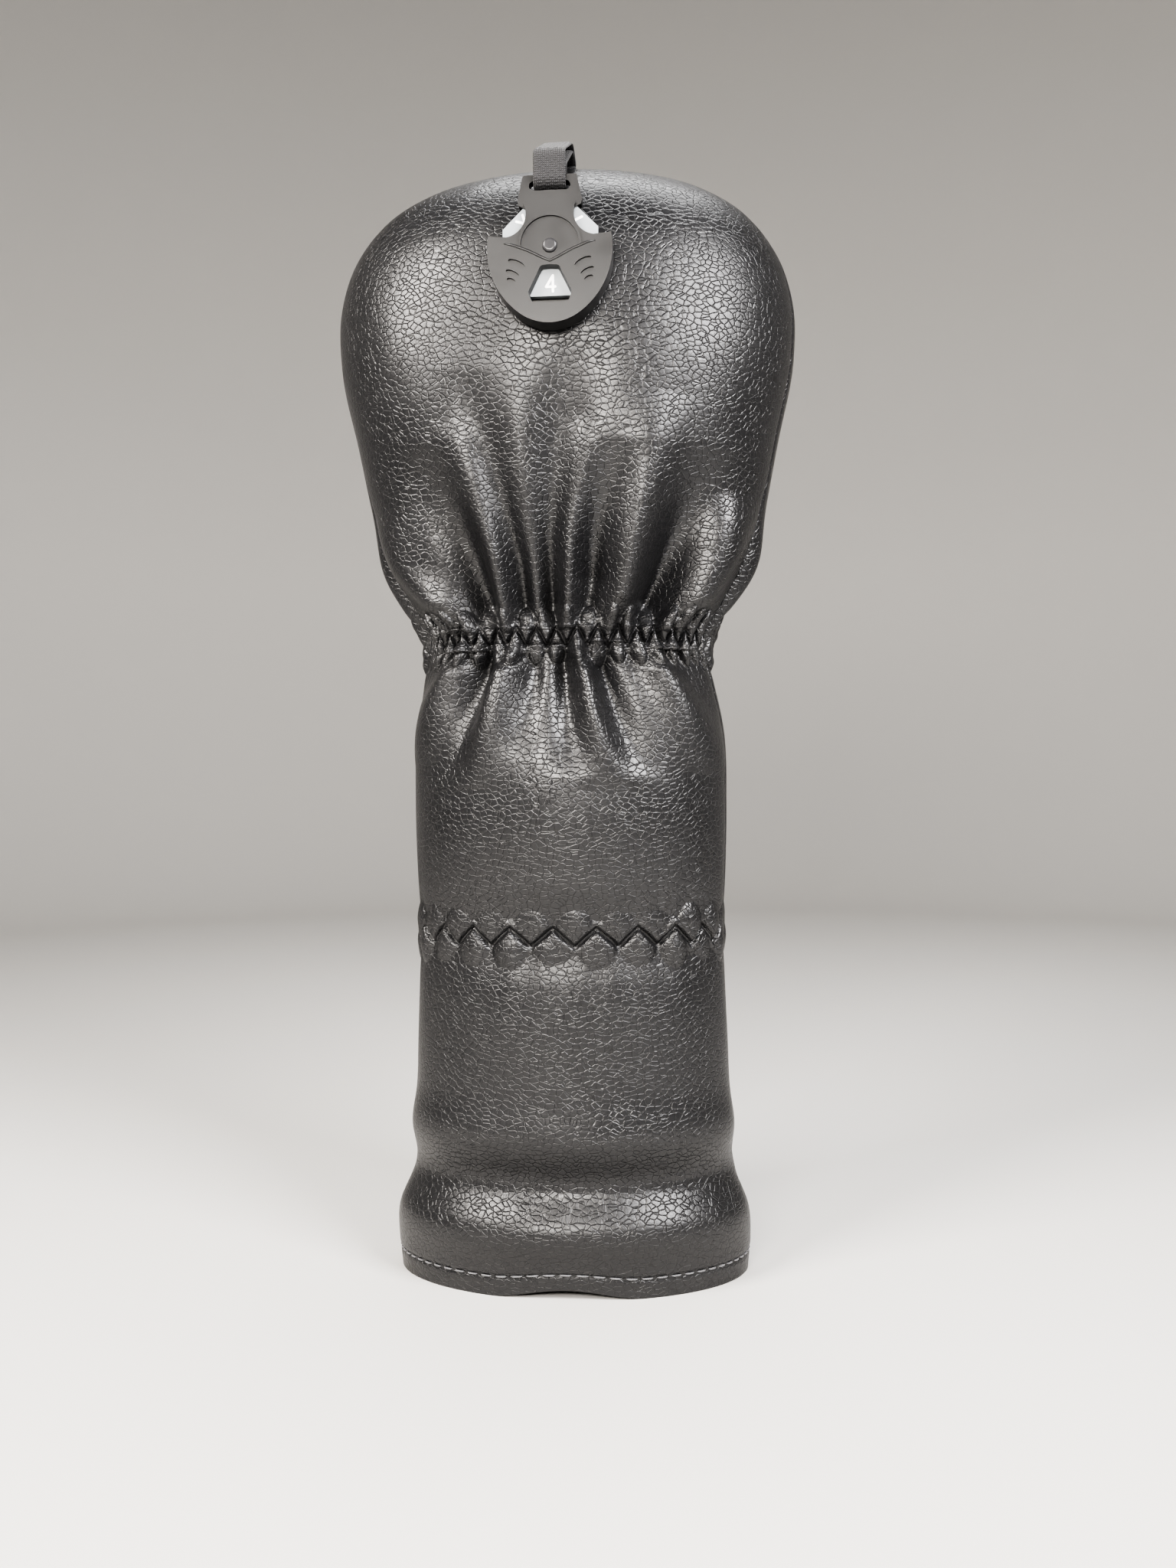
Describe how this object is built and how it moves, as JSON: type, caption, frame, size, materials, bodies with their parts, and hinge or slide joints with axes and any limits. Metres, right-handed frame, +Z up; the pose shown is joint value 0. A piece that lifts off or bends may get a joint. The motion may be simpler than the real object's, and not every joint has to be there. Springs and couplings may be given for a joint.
{
  "type": "golf head cover",
  "caption": "Lined leather golf head cover with a gathered neck and sock, a webbing loop and a rotating number tag.",
  "frame": {"origin": "centre of the mouth, level with the hem that it stands on", "axes": "+Z up from the mouth to the closed crest; the front with the number tag faces -Y"},
  "size_m": [0.1502, 0.0925, 0.359],
  "materials": {
    "leather": "pebble grain, semi-gloss black",
    "foam": "open-cell padding",
    "lining": "blue-grey brushed pile",
    "elastic": "ribbed black elastic",
    "facing": "black turned-up strip",
    "topstitch": "grey twisted thread",
    "thread": "black twisted thread",
    "webbing": "black woven webbing",
    "tag_plastic": "fine satin moulded plastic",
    "dial_plastic": "pale silver plastic",
    "numeral_ink": "dark raised numerals",
    "axle_plastic": "smooth moulded dome"
  },
  "bodies": {
    "cover": {"front_panel": "leather", "back_panel": "leather", "head_foam_front": "foam", "head_foam_back": "foam", "lining_front": "lining", "lining_back": "lining", "neck_elastic": "elastic", "lower_elastic": "elastic", "hem_facing": "facing", "hem_stitching": "topstitch", "neck_zigzag_stitching": "thread", "lower_zigzag_stitching": "thread", "side_seam_stitching": "thread", "loop_bar_tack": "thread", "webbing_tail": "webbing"},
    "loop": {"webbing_loop": "webbing"},
    "tag": {"tag_front_shell": "tag_plastic", "tag_back_shell": "tag_plastic", "dial_axle": "axle_plastic"},
    "dial": {"number_dial": "dial_plastic", "dial_numerals": "numeral_ink"}
  },
  "joints": [
    {"name": "loop_lift", "type": "hinge", "parent": "cover", "child": "loop", "pos_m": [0, -0.01282, 0.35708], "axis": [-1, 0, 0], "range_deg": [0, 90]},
    {"name": "tag_swing", "type": "hinge", "parent": "loop", "child": "tag", "pos_m": [0, -0.0499, 0.33303], "axis": [-1, 0, 0], "range_deg": [0, 95]},
    {"name": "dial_spin", "type": "hinge", "parent": "tag", "child": "dial", "pos_m": [0, -0.0488, 0.313], "axis": [0, -1, 0], "continuous": true}
  ]
}
